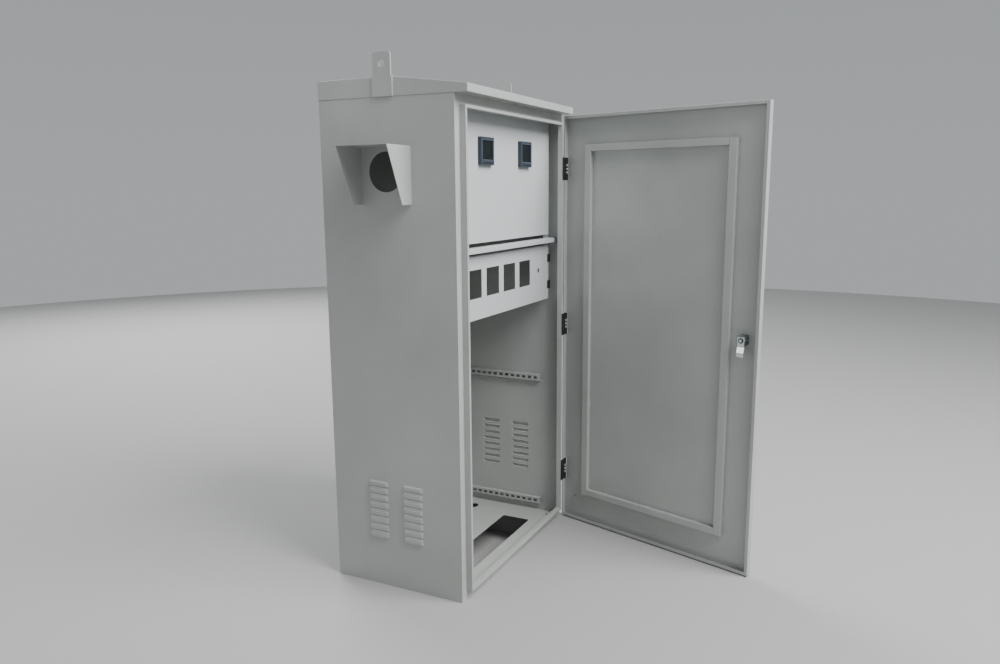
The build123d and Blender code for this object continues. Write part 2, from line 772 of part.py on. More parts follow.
export_step(panel_post_right.part, "parts/panel_post_right.step")
cross_rail.part.label = "cross_rail"
export_step(cross_rail.part, "parts/cross_rail.step")
instrument_panel.part.label = "instrument_panel"
export_step(instrument_panel.part, "parts/instrument_panel.step")
meter_left.part.label = "meter_left"
export_step(meter_left.part, "parts/meter_left.step")
meter_right.part.label = "meter_right"
export_step(meter_right.part, "parts/meter_right.step")
meter_glass_left.part.label = "meter_glass_left"
export_step(meter_glass_left.part, "parts/meter_glass_left.step")
meter_glass_right.part.label = "meter_glass_right"
export_step(meter_glass_right.part, "parts/meter_glass_right.step")
breaker_panel.part.label = "breaker_panel"
export_step(breaker_panel.part, "parts/breaker_panel.step")
panel_hinges.part.label = "panel_hinges"
export_step(panel_hinges.part, "parts/panel_hinges.step")
hinge_leaf_top.part.label = "hinge_leaf_top"
export_step(hinge_leaf_top.part, "parts/hinge_leaf_top.step")
hinge_leaf_middle.part.label = "hinge_leaf_middle"
export_step(hinge_leaf_middle.part, "parts/hinge_leaf_middle.step")
hinge_leaf_bottom.part.label = "hinge_leaf_bottom"
export_step(hinge_leaf_bottom.part, "parts/hinge_leaf_bottom.step")
hinge_pins.part.label = "hinge_pins"
export_step(hinge_pins.part, "parts/hinge_pins.step")
door_panel.part.label = "door_panel"
export_step(door_panel.part, "parts/door_panel.step")
stiffener_uprights.part.label = "stiffener_uprights"
export_step(stiffener_uprights.part, "parts/stiffener_uprights.step")
stiffener_crossbars.part.label = "stiffener_crossbars"
export_step(stiffener_crossbars.part, "parts/stiffener_crossbars.step")
door_knuckle_top.part.label = "door_knuckle_top"
export_step(door_knuckle_top.part, "parts/door_knuckle_top.step")
door_knuckle_middle.part.label = "door_knuckle_middle"
export_step(door_knuckle_middle.part, "parts/door_knuckle_middle.step")
door_knuckle_bottom.part.label = "door_knuckle_bottom"
export_step(door_knuckle_bottom.part, "parts/door_knuckle_bottom.step")
door_leaves.part.label = "door_leaves"
export_step(door_leaves.part, "parts/door_leaves.step")
lock_body.part.label = "lock_body"
export_step(lock_body.part, "parts/lock_body.step")
handle_plate.part.label = "handle_plate"
export_step(handle_plate.part, "parts/handle_plate.step")
handle.part.label = "handle"
export_step(handle.part, "parts/handle.step")
cam.part.label = "cam"
export_step(cam.part, "parts/cam.step")
cam_nut.part.label = "cam_nut"
export_step(cam_nut.part, "parts/cam_nut.step")
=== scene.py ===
import json
import logging
import math
from collections.abc import Callable
from dataclasses import dataclass, field
from enum import Enum
from typing import Any

import bmesh
import bpy
from mathutils import Matrix, Vector


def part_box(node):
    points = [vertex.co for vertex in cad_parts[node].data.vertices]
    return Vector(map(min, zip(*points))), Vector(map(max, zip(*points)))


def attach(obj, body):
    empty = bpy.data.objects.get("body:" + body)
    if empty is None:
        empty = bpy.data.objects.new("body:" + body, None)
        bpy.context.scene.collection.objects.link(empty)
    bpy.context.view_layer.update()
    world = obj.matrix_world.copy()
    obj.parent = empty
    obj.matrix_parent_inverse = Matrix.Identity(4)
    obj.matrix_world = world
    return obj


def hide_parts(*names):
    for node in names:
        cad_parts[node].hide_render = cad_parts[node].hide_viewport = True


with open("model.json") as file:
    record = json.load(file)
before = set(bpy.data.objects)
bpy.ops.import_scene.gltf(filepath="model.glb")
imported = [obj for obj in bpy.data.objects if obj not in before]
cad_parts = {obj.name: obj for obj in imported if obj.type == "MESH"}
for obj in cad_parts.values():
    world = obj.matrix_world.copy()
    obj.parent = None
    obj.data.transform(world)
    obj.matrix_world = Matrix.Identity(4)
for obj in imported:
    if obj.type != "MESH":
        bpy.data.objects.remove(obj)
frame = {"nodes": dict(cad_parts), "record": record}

log = logging.getLogger("cabinet")

# Sizes and places are in metres, and turns and angles in degrees where nothing else is said.
Triple = tuple[float, float, float]
X, Y, Z = Vector((1, 0, 0)), Vector((0, 1, 0)), Vector((0, 0, 1))
HINGES = ("top", "middle", "bottom")


def middle_of(node: str) -> Vector:
    """Gives the middle of the box round a solid of the frame."""
    lowest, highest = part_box(node)
    return (lowest + highest) / 2


def joint(name: str) -> dict[str, Any]:
    """Gives a joint of the record by its name."""
    return next(entry for entry in frame["record"]["behaviour"]["joints"] if entry["name"] == name)


class Carrier(Enum):
    """The moving bodies of the cabinet that a piece can ride on."""

    CABINET = "cabinet"
    DOOR = "door"
    LATCH = "latch"


class Look(Enum):
    """The finishes of the cabinet. Those that the solids have by themselves bear the record's names."""

    CABINET_PAINT = "cabinet_paint"
    PANEL_PAINT = "panel_paint"
    BLACK_METAL = "black_metal"
    ZINC = "zinc"
    STEEL = "steel"
    CHROME = "chrome"
    # Blue-passivated zinc whose strong dark and bright mottling is painted reflection.
    BLUED_ZINC = "blued_zinc"
    METER_CASE = "meter_case"
    METER_TRIM = "meter_trim"
    METER_KEYS = "meter_keys"
    METER_GLASS = "meter_glass"


class FinishBench:
    """One new material, with the nodes that the finishes share. Its patterns read object coordinates."""

    # The two colours that a Mix node takes and the one that it gives, as sockets by number.
    UNDER, OVER, MIXED = 6, 7, 2

    def __init__(self, look: Look) -> None:
        """Makes the material.

        Args:
            look: The finish that it is for.
        """
        self.material = bpy.data.materials.new(look.value)
        self.material.use_nodes = True
        self.shader = self.material.node_tree.nodes["Principled BSDF"]
        self.place = self.add("ShaderNodeTexCoord", {}).outputs["Object"]

    def feed(self, node: bpy.types.Node, inputs: dict[str | int, Any]) -> None:
        """Sets or links the inputs of a node.

        Args:
            node: The node.
            inputs: A value or another node's output for each input.
        """
        for name, given in inputs.items():
            if isinstance(given, bpy.types.NodeSocket):
                self.material.node_tree.links.new(given, node.inputs[name])
            else:
                node.inputs[name].default_value = given

    def add(self, kind: str, inputs: dict[str | int, Any]) -> bpy.types.Node:
        """Adds a node.

        Args:
            kind: Its type.
            inputs: What its inputs are fed.

        Returns:
            The new node.
        """
        node = self.material.node_tree.nodes.new(kind)
        self.feed(node, inputs)
        return node

    def noise(
        self, scale: float, detail: float = 2.0, roughness: float = 0.5, stretch: Triple | None = None
    ) -> bpy.types.NodeSocket:
        """Adds a cloudy pattern.

        Args:
            scale: How fine it is.
            detail: How many finer layers it has.
            roughness: How strong the finer layers are.
            stretch: How far it is drawn together along each axis.

        Returns:
            The pattern's value.
        """
        place = self.place
        if stretch:
            place = self.add("ShaderNodeMapping", {"Scale": stretch, "Vector": place}).outputs["Vector"]
        inputs = {"Scale": scale, "Detail": detail, "Roughness": roughness, "Vector": place}
        return self.add("ShaderNodeTexNoise", inputs).outputs["Fac"]

    def ramp(
        self, pattern: bpy.types.NodeSocket, low: list[float], high: list[float], ends: tuple[float, float]
    ) -> bpy.types.NodeSocket:
        """Turns a pattern into a run between two colours.

        Args:
            pattern: The pattern's value.
            low: Colour of its low places.
            high: Colour of its high places.
            ends: Values at which the run starts and ends.

        Returns:
            The colour.
        """
        node = self.add("ShaderNodeValToRGB", {"Fac": pattern})
        for stop, place, colour in zip(node.color_ramp.elements, ends, (low, high)):
            stop.position = place
            stop.color = (*colour, 1)
        return node.outputs["Color"]

    def span(
        self, pattern: bpy.types.NodeSocket, low: float, high: float, ends: tuple[float, float] = (0.0, 1.0)
    ) -> bpy.types.NodeSocket:
        """Turns a pattern into a range of values.

        Args:
            pattern: The pattern's value.
            low: Value of its low places.
            high: Value of its high places.
            ends: Values of the pattern at which the range starts and ends.

        Returns:
            The value.
        """
        start, end = ends
        inputs = {"Value": pattern, "From Min": start, "From Max": end, "To Min": low, "To Max": high}
        return self.add("ShaderNodeMapRange", inputs).outputs["Result"]

    def film(
        self, share: bpy.types.NodeSocket, under: bpy.types.NodeSocket, over: Triple
    ) -> bpy.types.NodeSocket:
        """Lays a thin film of one colour over another.

        Args:
            share: How much of the film shows.
            under: The colour under it.
            over: The film's own colour.

        Returns:
            The colour of both together.
        """
        node = self.add("ShaderNodeMix", {})
        node.data_type = "RGBA"
        self.feed(node, {"Factor": share, self.UNDER: under, self.OVER: (*over, 1)})
        return node.outputs[self.MIXED]

    def bump(self, pattern: bpy.types.NodeSocket, strength: float, depth: float) -> bpy.types.NodeSocket:
        """Turns a pattern into a fine relief of some strength and depth, and gives its normal."""
        inputs = {"Strength": strength, "Distance": depth, "Height": pattern}
        return self.add("ShaderNodeBump", inputs).outputs["Normal"]


@dataclass(frozen=True)
class PaintFinish:
    """Powder coat on sheet steel: soft cloudiness, fine texture and a little dust that has run down."""

    look: Look
    colour: Triple
    cloud: float = 0.06
    cloud_scale: float = 2.2
    roughness: float = 0.36
    duller: float = 0.10
    glossier: float = 0.05
    dust: float = 0.10
    dust_colour: Triple = (0.44, 0.40, 0.33)
    run_scale: float = 3.0
    run_stretch: Triple = (7.0, 7.0, 1.1)
    grain: float = 900.0
    grain_strength: float = 0.03
    grain_depth: float = 0.0006

    def make(self) -> bpy.types.Material:
        """Makes the material.

        Returns:
            The painted material.
        """
        bench = FinishBench(self.look)
        clouds = bench.noise(self.cloud_scale, detail=5.0, roughness=0.55)
        low = [c * (1 - self.cloud) for c in self.colour]
        high = [min(1.0, c * (1 + self.cloud)) for c in self.colour]
        paint = bench.ramp(clouds, low, high, ends=(0.3, 0.7))
        runs = bench.noise(self.run_scale, detail=8.0, stretch=self.run_stretch)
        share = bench.span(runs, 0.0, self.dust, ends=(0.5, 0.8))
        bench.feed(bench.shader, {
            "Base Color": bench.film(share, paint, self.dust_colour),
            "Roughness": bench.span(runs, self.roughness - self.glossier, self.roughness + self.duller),
            "Normal": bench.bump(bench.noise(self.grain), self.grain_strength, self.grain_depth),
        })
        return bench.material


@dataclass(frozen=True)
class MetalFinish:
    """Bare, plated or blackened metal with fine streaks and a handling-mark pattern; where the darkest
    share is low, the same pattern is painted reflection.
    """

    look: Look
    colour: Triple
    roughness: float = 0.3
    spread: float = 0.15
    metallic: float = 1.0
    grain: float = 120.0
    # Share of the colour left in the darkest places; a low share makes strong dark patches that are painted
    # reflections.
    low: float = 0.78
    grain_strength: float = 0.05
    grain_depth: float = 0.0003

    def make(self) -> bpy.types.Material:
        """Makes the material.

        Returns:
            The metal, with its roughness broken up by a fine pattern.
        """
        bench = FinishBench(self.look)
        marks_and_painted_reflections = bench.noise(self.grain, detail=6.0)
        low = [c * self.low for c in self.colour]
        bench.feed(bench.shader, {
            "Metallic": self.metallic,
            "Base Color": bench.ramp(marks_and_painted_reflections, low, list(self.colour), ends=(0.3, 0.75)),
            "Roughness": bench.span(marks_and_painted_reflections, self.roughness, self.roughness + self.spread),
            "Normal": bench.bump(marks_and_painted_reflections, self.grain_strength, self.grain_depth),
        })
        return bench.material


@dataclass(frozen=True)
class MouldedFinish:
    """Moulded plastic with slightly uneven colour, or a dark window."""

    look: Look
    colour: Triple
    roughness: float = 0.4
    clear: bool = False
    grain: float = 60.0
    low: float = 0.85
    high: float = 1.1
    clear_level: float = 0.25
    clear_coat: float = 0.06
    clear_coat_roughness: float = 0.05

    def make(self) -> bpy.types.Material:
        """Makes the material.

        Returns:
            The moulded plastic, or a dark window when clear is set.
        """
        bench = FinishBench(self.look)
        low = [c * self.low for c in self.colour]
        high = [c * self.high for c in self.colour]
        bench.feed(bench.shader, {
            "Base Color": bench.ramp(bench.noise(self.grain), low, high, ends=(0.0, 1.0)),
            "Roughness": self.roughness,
        })
        if self.clear:
            bench.feed(bench.shader, {
                "Specular IOR Level": self.clear_level,
                "Coat Weight": self.clear_coat,
                "Coat Roughness": self.clear_coat_roughness,
            })
        return bench.material


@dataclass(frozen=True)
class GroundFinish:
    """Pale matt studio floor."""

    name: str = "studio_floor"
    colour: Triple = (0.36, 0.36, 0.355)
    roughness: float = 0.85

    def make(self) -> bpy.types.Material:
        """Makes the material.

        Returns:
            The matt floor material.
        """
        material = bpy.data.materials.new(self.name)
        material.use_nodes = True
        shader = material.node_tree.nodes["Principled BSDF"]
        shader.inputs["Base Color"].default_value = (*self.colour, 1)
        shader.inputs["Roughness"].default_value = self.roughness
        return material


@dataclass
class Finishes:
    """All finishes of the cabinet, made once and shared."""

    made: dict[Look, bpy.types.Material] = field(default_factory=dict)

    def build(self) -> None:
        """Makes every finish."""
        for finish in (
            PaintFinish(Look.CABINET_PAINT, (0.40, 0.415, 0.40), cloud=0.075, roughness=0.21),
            PaintFinish(Look.PANEL_PAINT, (0.50, 0.52, 0.53), cloud=0.03, dust=0.04),
            MetalFinish(Look.BLACK_METAL, (0.016, 0.017, 0.018), 0.42, 0.2, metallic=0.0),
            MetalFinish(Look.ZINC, (0.62, 0.62, 0.60), 0.38, 0.2),
            MetalFinish(Look.STEEL, (0.56, 0.56, 0.56), 0.32, 0.2),
            MetalFinish(Look.CHROME, (0.92, 0.93, 0.94), 0.12, 0.12, grain=160.0, low=0.88),
            # Blued zinc: the teal tint is the plating's own, while the strong dark and bright patches are
            # painted reflections of dark surroundings and painted highlights.
            MetalFinish(Look.BLUED_ZINC, (0.50, 0.60, 0.61), 0.14, 0.12, grain=110.0, low=0.12),
            MouldedFinish(Look.METER_CASE, (0.032, 0.045, 0.062), 0.55),
            MouldedFinish(Look.METER_TRIM, (0.075, 0.100, 0.132), 0.5),
            MouldedFinish(Look.METER_KEYS, (0.012, 0.015, 0.019), 0.5),
            MouldedFinish(Look.METER_GLASS, (0.008, 0.011, 0.012), 0.35, clear=True),
        ):
            self.made[finish.look] = finish.make()

    def dress(self, piece: bpy.types.Object, look: Look) -> None:
        """Gives a piece one finish.

        Args:
            piece: The object to dress.
            look: The finish.
        """
        if not piece.material_slots:
            piece.data.materials.append(self.made[look])
        for place in piece.material_slots:
            place.material = self.made[look]


@dataclass
class Workshop:
    """Steps that several pieces share. A turn is the angle between the directions of two faces."""

    finishes: Finishes
    merge: float = 0.00001
    flat_turn: float = 0.6
    sharp_turn: float = 30.0
    quad_corners: int = 4

    def fresh(self) -> None:
        """Leaves object mode with nothing selected."""
        if bpy.context.mode != "OBJECT":
            bpy.ops.object.mode_set(mode="OBJECT")
        bpy.ops.object.select_all(action="DESELECT")

    def take(self, piece: bpy.types.Object) -> None:
        """Selects one piece alone and makes it the active one.

        Args:
            piece: The piece.
        """
        self.fresh()
        piece.select_set(True)
        bpy.context.view_layer.objects.active = piece

    def settle(self, piece: bpy.types.Object) -> None:
        """Moves a piece's place, turn and scale into its mesh."""
        self.take(piece)
        bpy.ops.object.transform_apply(location=True, rotation=True, scale=True)

    def copy_node(self, node: str, name: str) -> bpy.types.Object:
        """Copies a solid of the frame as a new piece with merged corners.

        Args:
            node: Name of the solid.
            name: Name of the new piece.

        Returns:
            The new piece, selected and active.
        """
        piece = bpy.data.objects.new(name, frame["nodes"][node].data.copy())
        bpy.context.scene.collection.objects.link(piece)
        self.take(piece)
        bpy.ops.object.mode_set(mode="EDIT")
        bpy.ops.mesh.select_all(action="SELECT")
        bpy.ops.mesh.remove_doubles(threshold=self.merge)
        flat = math.radians(self.flat_turn)
        bpy.ops.mesh.dissolve_limited(angle_limit=flat, use_dissolve_boundaries=False)
        bpy.ops.object.mode_set(mode="OBJECT")
        return piece

    def twin(self, piece: bpy.types.Object) -> bpy.types.Object:
        """Copies a piece with a mesh of its own.

        Args:
            piece: What is copied.

        Returns:
            The copy, where the piece is.
        """
        copy = piece.copy()
        copy.data = piece.data.copy()
        bpy.context.scene.collection.objects.link(copy)
        return copy

    def pick_edges(self, piece: bpy.types.Object, wanted: Callable[[bmesh.types.BMEdge], bool]) -> int:
        """Selects edges in edit mode by a test.

        Args:
            piece: The piece being edited.
            wanted: Test that takes an edge and says whether it is wanted.

        Returns:
            How many edges are selected.
        """
        bpy.ops.mesh.select_mode(type="EDGE")
        bpy.ops.mesh.select_all(action="DESELECT")
        mesh = bmesh.from_edit_mesh(piece.data)
        found = [edge for edge in mesh.edges if wanted(edge)]
        for edge in found:
            edge.select_set(True)
        bmesh.update_edit_mesh(piece.data)
        return len(found)

    def pick_faces(self, piece: bpy.types.Object, wanted: Callable[[bmesh.types.BMFace], bool]) -> None:
        """Selects faces in edit mode by a test.

        Args:
            piece: The piece being edited.
            wanted: Test that takes a face and says whether it is wanted.
        """
        bpy.ops.mesh.select_mode(type="FACE")
        bpy.ops.mesh.select_all(action="DESELECT")
        mesh = bmesh.from_edit_mesh(piece.data)
        for face in mesh.faces:
            face.select_set(wanted(face))
        bmesh.update_edit_mesh(piece.data)

    def is_end(self, face: bmesh.types.BMFace) -> bool:
        """Says whether a face of a cylinder is one of its two ends."""
        return len(face.verts) > self.quad_corners

    def bore(self, piece: bpy.types.Object, wall: float) -> None:
        """Bores a cylinder through in edit mode.

        Args:
            piece: The cylinder being edited.
            wall: What is left from the edge of its ends to the bore.
        """
        self.pick_faces(piece, self.is_end)
        bpy.ops.mesh.inset(thickness=wall, depth=0.0)
        bpy.ops.mesh.bridge_edge_loops()

    def join(self, pieces: list[bpy.types.Object], name: str) -> bpy.types.Object:
        """Joins pieces into one.

        Args:
            pieces: What is joined.
            name: Name of the joined piece.

        Returns:
            The joined piece, with its place in its mesh.
        """
        self.take(pieces[0])
        for piece in pieces:
            piece.select_set(True)
        if len(pieces) > 1:
            bpy.ops.object.join()
        bpy.ops.object.transform_apply(location=True, rotation=True, scale=True)
        joined = bpy.context.object
        joined.name = name
        return joined

    def smooth(self, piece: bpy.types.Object, sharp_turn: float | None = None) -> None:
        """Shades a piece smooth apart from its sharp edges.

        Args:
            piece: The piece.
            sharp_turn: The turn past which an edge is sharp, where the usual one doesn't suit.
        """
        self.take(piece)
        bpy.ops.object.shade_smooth_by_angle(angle=math.radians(sharp_turn or self.sharp_turn))
        weigh = piece.modifiers.new("weigh", "WEIGHTED_NORMAL")
        weigh.mode = "FACE_AREA"
        weigh.weight = 100
        weigh.keep_sharp = True
        bpy.ops.object.modifier_apply(modifier="weigh")

    def finish(
        self, piece: bpy.types.Object, look: Look, body: Carrier, slot: Look | None = None
    ) -> None:
        """Dresses a piece and fixes it to its body.

        Args:
            piece: The finished piece.
            look: Its finish.
            body: What it rides on.
            slot: Material slot of the record for the piece, where its finish isn't one. Not used.
        """
        self.finishes.dress(piece, look)
        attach(piece, body.value)
        log.info("built %s, %d faces", piece.name, len(piece.data.polygons))


@dataclass(frozen=True)
class SoftLamp:
    """One square studio lamp of some watts, aimed at a point."""

    name: str
    place: Triple
    target: Triple
    side: float
    power: float

    def hang(self) -> None:
        """Hangs the lamp."""
        lamp = bpy.data.lights.new(self.name, "AREA")
        lamp.size = self.side
        lamp.energy = self.power
        body = bpy.data.objects.new(self.name, lamp)
        bpy.context.scene.collection.objects.link(body)
        body.location = self.place
        aim = Vector(self.target) - Vector(self.place)
        body.rotation_euler = aim.to_track_quat("-Z", "Y").to_euler()


@dataclass(frozen=True)
class PhotoCamera:
    """The photograph's camera: where it stood, its turns in radians and its lens in pixels."""

    eye: Triple = (-3.04383, -1.75812, 1.61144)
    yaw: float = 1.11898
    pitch: float = -0.17777
    roll: float = -0.00477
    focal_px: float = 798.289
    axis_px: tuple[float, float] = (11.966, 1.443)
    picture_width: float = 1000.0
    sensor_width: float = 36.0
    clip_end: float = 200.0

    def set_up(self) -> None:
        """Places the camera and makes it the scene's own."""
        data = bpy.data.cameras.new("photo_view")
        data.sensor_width = self.sensor_width
        data.lens = self.focal_px / self.picture_width * data.sensor_width
        data.shift_x = -self.axis_px[0] / self.picture_width
        data.shift_y = self.axis_px[1] / self.picture_width
        data.clip_end = self.clip_end
        camera = bpy.data.objects.new("photo_view", data)
        bpy.context.scene.collection.objects.link(camera)
        ahead = Vector((
            math.sin(self.yaw) * math.cos(self.pitch),
            math.cos(self.yaw) * math.cos(self.pitch),
            math.sin(self.pitch),
        ))
        level = Vector((math.cos(self.yaw), -math.sin(self.yaw), 0.0))
        over = level.cross(ahead)
        right = math.cos(self.roll) * level + math.sin(self.roll) * over
        up = -math.sin(self.roll) * level + math.cos(self.roll) * over
        turn = Matrix((right, up, -ahead)).transposed()
        camera.matrix_world = Matrix.Translation(self.eye) @ turn.to_4x4()
        bpy.context.scene.camera = camera


@dataclass
class StudioSet:
    """Round floor with a cable pit, soft world light, lamps and the photograph's camera."""

    floor_radius: float = 10.5
    floor_sides: int = 96
    pit: Triple = (0.46, 0.26, 0.15)
    tint: Triple = (0.93, 0.97, 1.0)
    ambient: float = 0.51
    dome: tuple[tuple[float, float], ...] = ((0.0, 0.86), (0.22, 0.80), (0.32, 0.50), (0.55, 1.0))
    lamps: tuple[SoftLamp, ...] = (
        SoftLamp("key", (-0.5, -4.6, 5.9), (0.0, 0.0, 0.9), side=4.4, power=900.0),
        SoftLamp("fill", (4.0, 6.2, 5.0), (0.0, 0.6, 0.4), side=5.0, power=700.0),
        SoftLamp("glint", (-5.54, 4.05, 2.80), (0.217, -1.21, 1.008), side=1.3, power=10.0),
    )

    def build(self, shop: Workshop) -> None:
        """Builds the floor, the world, the lamps and the camera.

        Args:
            shop: The shared steps.
        """
        self.lay_floor(shop)
        self.raise_dome()
        for lamp in self.lamps:
            lamp.hang()
        PhotoCamera().set_up()

    def lay_floor(self, shop: Workshop) -> None:
        """Lays the pale floor, with a cable pit under the cabinet.

        Args:
            shop: The shared steps.
        """
        shop.fresh()
        bpy.ops.mesh.primitive_circle_add(
            vertices=self.floor_sides, radius=self.floor_radius, fill_type="NGON", location=(0, 0, 0)
        )
        floor = bpy.context.object
        floor.name = "studio_floor"
        across, along, depth = self.pit
        bpy.ops.object.mode_set(mode="EDIT")
        for place, normal in ((across, X), (-across, X), (along, Y), (-along, Y)):
            bpy.ops.mesh.select_all(action="SELECT")
            bpy.ops.mesh.bisect(plane_co=place * normal, plane_no=normal)
        shop.pick_faces(floor, self.is_pit)
        bpy.ops.mesh.extrude_region_move(TRANSFORM_OT_translate={"value": (0, 0, -depth)})
        bpy.ops.object.mode_set(mode="OBJECT")
        floor.data.materials.append(GroundFinish().make())

    def is_pit(self, face: bmesh.types.BMFace) -> bool:
        """Says whether a face of the cut floor is the middle one."""
        return face.calc_center_median().length < min(self.pit)

    def raise_dome(self) -> None:
        """Sets the soft world light, which changes with the height above the horizon."""
        world = bpy.data.worlds.new("studio")
        bpy.context.scene.world = world
        world.use_nodes = True
        nodes, links = world.node_tree.nodes, world.node_tree.links
        place = nodes.new("ShaderNodeTexCoord")
        split = nodes.new("ShaderNodeSeparateXYZ")
        links.new(place.outputs["Generated"], split.inputs["Vector"])
        sky = nodes.new("ShaderNodeValToRGB")
        for height, _ in self.dome[1:-1]:
            sky.color_ramp.elements.new(height)
        for stop, (height, share) in zip(sky.color_ramp.elements, self.dome):
            stop.position = height
            stop.color = (*[share * tint for tint in self.tint], 1)
        links.new(split.outputs["Z"], sky.inputs["Fac"])
        back = nodes["Background"]
        links.new(sky.outputs["Color"], back.inputs["Color"])
        back.inputs["Strength"].default_value = self.ambient


@dataclass(frozen=True)
class Easing:
    """How far a solid's folds and cut edges are rounded, and the plating over its own finish if any."""

    fold: float = 0.0019
    edge: float = 0.0004
    sharp_turn: float = 35.0
    plating: Look | None = None


@dataclass
class EasedSolid:
    """A folded, cut or cast solid with its folds rounded and its cut edges eased."""

    node: str
    body: Carrier
    slot: Look
    easing: Easing
    broad: float = 0.006
    fold_steps: int = 4
    fold_turn: float = 12.0
    edge_turn: float = 50.0

    def build(self, shop: Workshop) -> None:
        """Builds the piece and lets it stand for its solid.

        Args:
            shop: The shared steps.
        """
        piece = shop.copy_node(self.node, f"{self.node}_eased")
        bpy.ops.object.mode_set(mode="EDIT")
        if shop.pick_edges(piece, self.is_fold):
            bpy.ops.mesh.bevel(
                offset=self.easing.fold, segments=self.fold_steps, affect="EDGES", clamp_overlap=True
            )
        bpy.ops.object.mode_set(mode="OBJECT")
        ease = piece.modifiers.new("ease", "BEVEL")
        ease.limit_method = "ANGLE"
        ease.angle_limit = math.radians(self.edge_turn)
        ease.width = self.easing.edge
        ease.segments = 1
        ease.use_clamp_overlap = True
        bpy.ops.object.modifier_apply(modifier="ease")
        shop.smooth(piece, self.easing.sharp_turn)
        shop.finish(piece, self.easing.plating or self.slot, self.body, self.slot)
        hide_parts(self.node)

    def is_fold(self, edge: bmesh.types.BMEdge) -> bool:
        """Says whether an edge is a fold: convex, turned and between two broad faces.

        Args:
            edge: The edge.

        Returns:
            True where the edge is to be rounded as a fold.
        """
        if len(edge.link_faces) != 2 or not edge.is_convex:
            return False
        if edge.calc_face_angle(0.0) < math.radians(self.fold_turn):
            return False
        return all(self.breadth(face) > self.broad for face in edge.link_faces)

    def breadth(self, face: bmesh.types.BMFace) -> float:
        """Gives the area of a face over its longest side."""
        return face.calc_area() / max(side.calc_length() for side in face.edges)


@dataclass
class FrameParts:
    """The solids of the frame: all dressed, and those of sheet or casting eased and stood in for."""

    left_as_cut: tuple[str, ...] = ("glass", "pins", "knuckle")
    sheet: Easing = Easing()
    special: dict[str, Easing] = field(default_factory=lambda: {
        "handle": Easing(0.0025, 0.0006),
        "handle_plate": Easing(0.0015, 0.0006),
        # The lock body and cam nut take blued zinc with painted reflections.
        "lock_body": Easing(0.0025, 0.0005, plating=Look.BLUED_ZINC),
        "cam": Easing(sharp_turn=8.0, plating=Look.CHROME),
        "cam_nut": Easing(0.0008, 0.0003, plating=Look.BLUED_ZINC),
        "meter_left": Easing(0.0018, 0.0005),
        "meter_right": Easing(0.0018, 0.0005),
        "lug_left": Easing(0.0010, 0.0005),
        "lug_right": Easing(0.0010, 0.0005),
    })

    def build(self, shop: Workshop) -> None:
        """Dresses every solid, then builds the eased pieces that stand for them.

        Args:
            shop: The shared steps.
        """
        slots = {part["node"]: Look(part["material_slot"]) for part in frame["record"]["subparts"]}
        for node, slot in slots.items():
            shop.finishes.dress(frame["nodes"][node], slot)
        members = frame["record"]["behaviour"]["bodies"]
        for body in Carrier:
            for node in members[body.value]:
                if not any(word in node for word in self.left_as_cut):
                    EasedSolid(node, body, slots[node], self.special.get(node, self.sheet)).build(shop)


@dataclass(frozen=True)
class DoorPlane:
    """The plane of the door's lip with the door open: along the door, up, and out of its inner face."""

    corner_along: float = -0.0005
    corner_inward: float = 0.0225
    skin: float = -0.026

    def hinge(self) -> tuple[float, float]:
        """Gives where the door's hinge axis stands, across and along the cabinet."""
        return tuple(joint("door_hinge")["pos_m"][:2])

    def matrix(self) -> Matrix:
        """Works out where the door's directions lie in the cabinet's frame.

        Returns:
            The matrix that takes along, up and out to the cabinet's frame.
        """
        closed, _ = joint("door_hinge")["range_deg"]
        turn = math.radians(-closed)
        cos, sin = math.cos(turn), math.sin(turn)
        across, along = self.hinge()
        corner = Vector((
            across + self.corner_along * cos - self.corner_inward * sin,
            along + self.corner_along * sin + self.corner_inward * cos,
            0.0,
        ))
        axes = Matrix(((-cos, 0, -sin), (-sin, 0, cos), (0, 1, 0))).to_4x4()
        return Matrix.Translation(corner) @ axes

    def hang(self, shop: Workshop, piece: bpy.types.Object) -> None:
        """Moves a piece drawn in the door's own directions to its place on the open door."""
        piece.matrix_world = self.matrix() @ piece.matrix_world
        shop.settle(piece)


